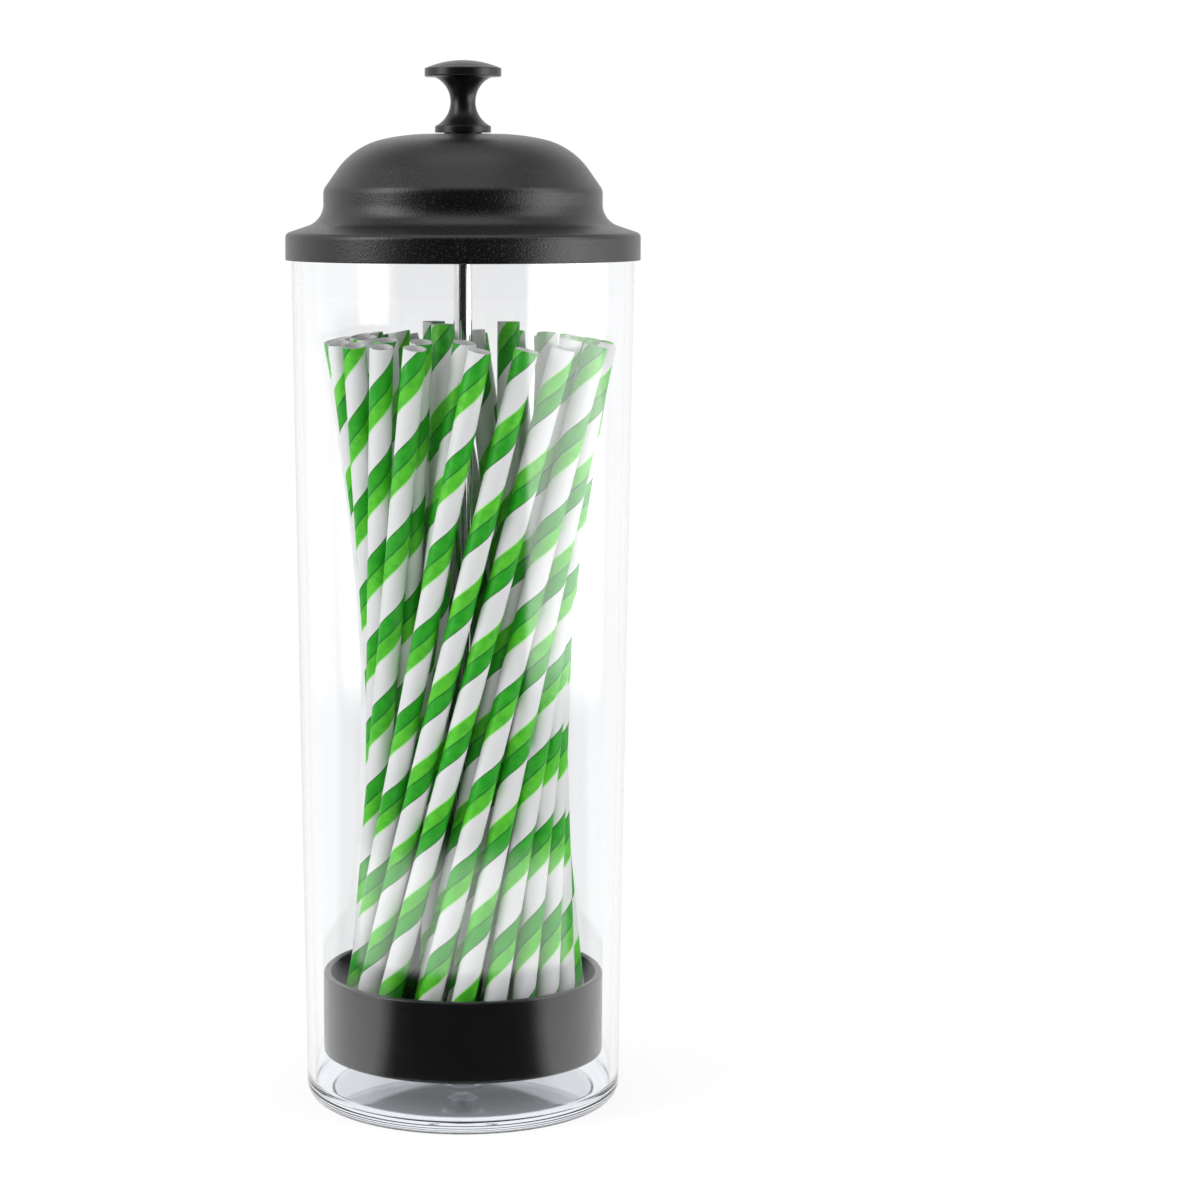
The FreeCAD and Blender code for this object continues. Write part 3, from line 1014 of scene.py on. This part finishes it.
@dataclass
class Straws:
    """The paper straws: one is modelled, and copied to stand where each solid stands."""

    count: int = 38
    radius: float = 3.0 * MM
    wall: float = 0.4 * MM
    length: float = 195.0 * MM
    cut_bevel: float = 0.07 * MM
    cut_angle: float = 60.0
    smooth_angle: float = 25.0
    pitch: float = 23.4 * MM
    turn_on: float = 0.382
    facets: int = 40
    print_finish: PrintedPaper = PrintedPaper()
    paper_finish: PlainPaper = PlainPaper()
    front_starts: dict[WayUp, dict[int, float]] = field(
        default_factory=lambda: {
            WayUp.LIGHT_ABOVE: {3: 0.65, 4: 0.20, 6: 0.35, 22: 0.20, 36: 0.80, 37: 0.90},
            WayUp.DARK_ABOVE: {1: 0.55, 2: 0.50, 5: 0.70, 7: 0.85, 8: 0.95, 9: 0.90}
            | {20: 0.90, 21: 0.30, 34: 0.65, 38: 0.60},
        }
    )

    def model(self) -> bpy.types.Object:
        """Model one straw upright on the origin: a tube with its wall, its cut ends and its map.

        Returns:
            The pattern straw.
        """
        pick_none()
        bpy.ops.mesh.primitive_cylinder_add(
            vertices=self.facets,
            radius=self.radius,
            depth=self.length,
            end_fill_type="NOTHING",
            location=(0.0, 0.0, self.length / 2),
        )
        straw = bpy.context.object
        straw.name = straw.data.name = "pattern_straw"
        bpy.ops.object.transform_apply(location=True, rotation=True, scale=True)
        dress(straw, self.print_finish.make(), self.paper_finish.make())
        self.map_print(straw.data)
        wall = straw.modifiers.new("wall", "SOLIDIFY")
        wall.thickness = self.wall
        wall.offset = -1.0
        wall.material_offset = 1
        wall.material_offset_rim = 1
        bpy.ops.object.modifier_apply(modifier=wall.name)
        cut = straw.modifiers.new("cut", "BEVEL")
        cut.width = self.cut_bevel
        cut.segments = 2
        cut.limit_method = "ANGLE"
        cut.angle_limit = math.radians(self.cut_angle)
        bpy.ops.object.modifier_apply(modifier=cut.name)
        smooth(straw, self.smooth_angle)
        return straw

    def map_print(self, mesh: bpy.types.Mesh) -> None:
        """Lay the print round a straw: once round in U, and one turn of the spiral in V.

        Args:
            mesh: The upright tube, before it has a wall.
        """
        while mesh.uv_layers:
            mesh.uv_layers.remove(mesh.uv_layers[0])
        layer = mesh.uv_layers.new(name=PRINT_MAP)
        for face in mesh.polygons:
            middle = math.atan2(face.center.y, face.center.x)
            for corner in face.loop_indices:
                spot = mesh.vertices[mesh.loops[corner].vertex_index].co
                angle = math.atan2(spot.y, spot.x)
                angle -= 2 * math.pi * round((angle - middle) / (2 * math.pi))
                layer.data[corner].uv = (angle / (2 * math.pi), spot.z / self.pitch)

    @staticmethod
    def ends(solid: bpy.types.Object) -> tuple[Vector, Vector]:
        """The centres of a straw solid's foot and top, from its rings of corners.

        Args:
            solid: A straw of the frame, which has corners at its two ends alone.

        Returns:
            The foot's centre and the top's.
        """
        spots = {tuple(round(c, 6) for c in v.co) for v in solid.data.vertices}
        middle = (min(s[2] for s in spots) + max(s[2] for s in spots)) / 2
        low = [Vector(s) for s in spots if s[2] < middle]
        high = [Vector(s) for s in spots if s[2] > middle]
        return sum(low, Vector()) / len(low), sum(high, Vector()) / len(high)

    def place(self, pattern: bpy.types.Object, number: int, solid: bpy.types.Object) -> bpy.types.Object:
        """Copy the pattern straw, turn its print and stand it where its solid stands.

        Args:
            pattern: The straw that was modelled.
            number: The straw's number, from 1.
            solid: The solid that the copy replaces.

        Returns:
            The copy, with its own mesh.
        """
        foot, top = self.ends(solid)
        straw = pattern.copy()
        straw.data = pattern.data.copy()
        straw.name = straw.data.name = "paper_straw_%02d" % number
        bpy.context.scene.collection.objects.link(straw)
        lie = self.lie(number)
        for corner in straw.data.uv_layers[PRINT_MAP].data:
            corner.uv = lie.place(*corner.uv)
        along = (top - foot).normalized()
        side = Vector((0.0, 1.0, 0.0)).cross(along).normalized()
        stand = Matrix((side, along.cross(side), along)).transposed().to_4x4()
        straw.data.transform(Matrix.Translation(foot) @ stand)
        return straw

    def lie(self, number: int) -> Print:
        """How a straw's print lies: as seen on the front ones, and by turns on those that don't show.

        Args:
            number: The straw's number, from 1.

        Returns:
            Its way up and start.
        """
        for way, starts in self.front_starts.items():
            if number in starts:
                return Print(way, starts[number])
        way = WayUp.LIGHT_ABOVE if number % 2 else WayUp.DARK_ABOVE
        return Print(way, (number * self.turn_on) % 1.0)

    def build(self, nodes: dict[str, bpy.types.Object]) -> None:
        """Make every straw.

        Args:
            nodes: The solids of the frame by name.
        """
        pattern = self.model()
        for number in range(1, self.count + 1):
            name = "straw_%02d" % number
            straw = self.place(pattern, number, nodes[name])
            stand_in(straw, name, name)
        bpy.data.objects.remove(pattern)


# The studio


@dataclass(frozen=True)
class SoftBox:
    """A soft lamp: where it hangs, its width and height, and its power in watts."""

    name: str
    place: Spot
    size: Span
    watts: float

    def hang(self, aim: Spot) -> None:
        """Hang the lamp, turned towards a point.

        Args:
            aim: The point that it faces.
        """
        data = bpy.data.lights.new(self.name, "AREA")
        data.shape = "RECTANGLE"
        data.size, data.size_y = self.size
        data.energy = self.watts
        lamp = bpy.data.objects.new(self.name, data)
        place = Vector(self.place)
        turn = (Vector(aim) - place).to_track_quat("-Z", "Y").to_matrix().to_4x4()
        lamp.matrix_world = Matrix.Translation(place) @ turn
        bpy.context.scene.collection.objects.link(lamp)


@dataclass
class Studio:
    """Plain pale floor, white surroundings, soft lamps and the camera of the photograph.

    What a face mirrors is a studio with a dark front, where the photographer stood. On the floor that
    front goes on between two dark wings, with a bright card close before the jar and a bright stretch
    far out to its right. Each edge is a pair of numbers: where a ramp is 0 and where it is 1, in metres
    of reach from the jar's axis, degrees aside, or rise of a direction from 0 to 1.
    """

    camera_back: float = 0.830
    camera_height: float = 0.2466
    camera_tilt: float = 7.57
    focal_pixels: float = 3115.0
    frame_pixels: float = 1200.0
    axis_pixel: float = 463.0
    sensor: float = 36.0
    clip: Span = (0.01, 50.0)
    ambient: float = 0.62
    front_dark: float = 0.02
    front_aside: Span = (64.0, 44.0)
    front_rise: Span = (0.92, 0.50)
    ceiling_tone: float = 0.5
    ceiling_rise: Span = (0.45, 0.85)
    floor_size: float = 12.0
    floor_matt: float = 0.80
    floor_share: float = 0.25
    floor_lift: float = 0.80
    far_lift: float = 0.07
    far_reach: Span = (0.3, 1.5)
    under_dark: float = 0.86
    under_reach: Span = (0.0385, 0.0365)
    under_bow: float = 34.0
    under_edge: Span = (0.006, 0.001)
    under_pale: float = 0.34
    pale_reach: Span = (0.038, 0.033)
    middle_aside: Span = (58.0, 42.0)
    middle_reach: Span = (0.055, 0.075)
    wing_in: Span = (40.0, 50.0)
    wing_out: Span = (100.0, 90.0)
    wing_reach: Span = (0.16, 0.20)
    left_end: Span = (4.2, 3.2)
    card_glow: float = 4.2
    card_aside: Span = (80.0, 70.0)
    card_near: Span = (0.185, 0.205)
    card_far: Span = (0.40, 0.32)
    side_glow: float = 3.4
    side_in: Span = (40.0, 47.0)
    side_out: Span = (122.0, 104.0)
    side_reach: Span = (0.52, 0.78)
    aim: Spot = (0.0, 0.0, 0.13)
    boxes: tuple[SoftBox, ...] = (
        SoftBox("left_box", (-0.85, -0.36, 0.62), (0.5, 0.9), 4.6),
        SoftBox("right_box", (0.85, -0.30, 0.54), (0.5, 0.9), 2.8),
        SoftBox("top_box", (0.0, -0.15, 1.05), (0.7, 0.7), 1.2),
    )

    def camera(self) -> None:
        """Stand the camera where the photograph was taken from."""
        data = bpy.data.cameras.new("photo_camera")
        data.sensor_width = self.sensor
        data.lens = self.sensor * self.focal_pixels / self.frame_pixels
        data.shift_x = (self.frame_pixels / 2 - self.axis_pixel) / self.frame_pixels
        data.clip_start, data.clip_end = self.clip
        camera = bpy.data.objects.new("photo_camera", data)
        camera.location = (0.0, -self.camera_back, self.camera_height)
        camera.rotation_euler = (math.radians(90 - self.camera_tilt), 0.0, 0.0)
        bpy.context.scene.collection.objects.link(camera)
        bpy.context.scene.camera = camera

    @staticmethod
    def aside(parts: Wire) -> Wire:
        """Degrees to the right of straight ahead, from the X and Y of a direction or place."""
        return parts.out("X").degrees_from(parts.out("Y") * -1.0)

    @staticmethod
    def mirrored(path: Wire) -> Wire:
        """1 for a ray that some face has mirrored, and 0 for one that only went through clear plastic."""
        return path.out("Glossy Depth").at_most(1.0) * (1.0 - path.out("Is Diffuse Ray"))

    @staticmethod
    def looked_at(path: Wire) -> Wire:
        """1 for a ray that a mirroring or clear face sends on, and 0 for one that lights a dull face."""
        return path.out("Is Glossy Ray").at_least(path.out("Is Transmission Ray"))

    def surroundings(self) -> None:
        """White surroundings, with a dark front and a dimmer ceiling for mirrored rays alone."""
        graph = Graph(bpy.data.worlds.new("studio"))
        parts = graph.parts(graph.add("ShaderNodeTexCoord").out("Generated"))
        path = graph.add("ShaderNodeLightPath")
        rise = parts.out("Z")
        front = self.aside(parts).size().ramp(*self.front_aside) * rise.ramp(*self.front_rise)
        tone = graph.mix(rise.ramp(*self.ceiling_rise), WHITE, grey(self.ceiling_tone))
        tone = graph.mix(front, tone, grey(self.front_dark))
        tone = graph.mix(self.mirrored(path), WHITE, tone)
        plain = graph.glow(self.ambient, WHITE, "Background")
        studio = graph.glow(1.0, tone, "Background")
        white = graph.glow(1.0, WHITE, "Background")
        surface = graph.over(self.looked_at(path), plain, studio)
        surface = graph.over(path.out("Is Camera Ray"), surface, white)
        bpy.context.scene.world = graph.close(surface, "World")

    def wing(self, aside: Wire, reach: Wire) -> Wire:
        """1 on the dark floor at one side and 0 off it, by degrees to that side and reach from the axis."""
        return aside.ramp(*self.wing_out) * aside.ramp(*self.wing_in) * reach.ramp(*self.wing_reach)

    def shade(self, parts: Wire, reach: Wire) -> Wire:
        """How much darker the floor is under the jar: most in a lens at its front, and a little elsewhere.

        Args:
            parts: X and Y on the floor.
            reach: Distance from the jar's axis.

        Returns:
            The share of light that is missing.
        """
        bow = parts.out("Y") + parts.out("X") * parts.out("X") * self.under_bow
        lens = bow.ramp(*self.under_edge) * reach.ramp(*self.under_reach)
        return lens * self.under_dark + reach.ramp(*self.pale_reach) * (1.0 - lens) * self.under_pale

    def floor(self) -> None:
        """A pale floor that keeps the object's shadow, with front, wings, card and glow for mirrored rays."""
        pick_none()
        bpy.ops.mesh.primitive_plane_add(size=self.floor_size, location=(0.0, 0.0, 0.0))
        floor = bpy.context.object
        floor.name = floor.data.name = "studio_floor"
        graph = Graph(bpy.data.materials.new("floor_white"))
        place = graph.object_place()
        parts = graph.parts(place)
        reach = graph.add("ShaderNodeVectorMath", {"operation": "LENGTH"}, {0: place}).out("Value")
        path = graph.add("ShaderNodeLightPath")
        mirrored = self.mirrored(path)

        matt = graph.add("ShaderNodeBsdfDiffuse", None, {"Color": grey(self.floor_matt)})
        shaded = graph.add("ShaderNodeBsdfDiffuse", None, {"Color": grey(self.floor_share)})
        lift = self.floor_lift + reach.ramp(*self.far_reach) * self.far_lift
        lift = graph.glow(lift * (1.0 - self.shade(parts, reach)))
        seen = graph.add("ShaderNodeAddShader", None, {0: shaded, 1: lift})
        shown = path.out("Is Camera Ray").at_least(self.looked_at(path))
        surface = graph.over(shown, matt, seen)

        turn = self.aside(parts)
        middle = turn.size().ramp(*self.middle_aside) * reach.ramp(*self.middle_reach)
        left = self.wing(turn * -1.0, reach) * reach.ramp(*self.left_end)
        dark = mirrored * middle.at_least(left).at_least(self.wing(turn, reach))
        dim = graph.glow(self.front_dark)
        surface = graph.over(dark, surface, dim)

        outside = 1.0 - path.out("Transmission Depth").at_most(1.0)
        card = reach.ramp(*self.card_near) * reach.ramp(*self.card_far) * outside
        card = turn.size().ramp(*self.card_aside) * card
        side = turn.ramp(*self.side_in) * turn.ramp(*self.side_out) * reach.ramp(*self.side_reach)
        glow = graph.glow(card * self.card_glow + side * self.side_glow)
        surface = graph.over(mirrored * card.at_least(side), surface, glow)
        dress(floor, graph.close(surface))

    def build(self) -> None:
        """Set up the camera, the floor, the surroundings and the lamps."""
        bpy.context.scene.view_settings.view_transform = "Standard"
        self.camera()
        self.surroundings()
        self.floor()
        for box in self.boxes:
            box.hang(self.aim)


def main() -> None:
    """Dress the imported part, piece by piece, and set up the studio."""
    logging.basicConfig(level=logging.INFO, format="%(name)s: %(message)s")
    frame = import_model()
    nodes = frame["nodes"]
    jar = Jar()
    lid = Lid(jar)
    Studio().build()
    jar.build()
    lid.build()
    Knob(lid.crown_z).build()
    Rod().build(nodes)
    Tray().build()
    Straws().build(nodes)


if __name__ == "__main__":
    main()
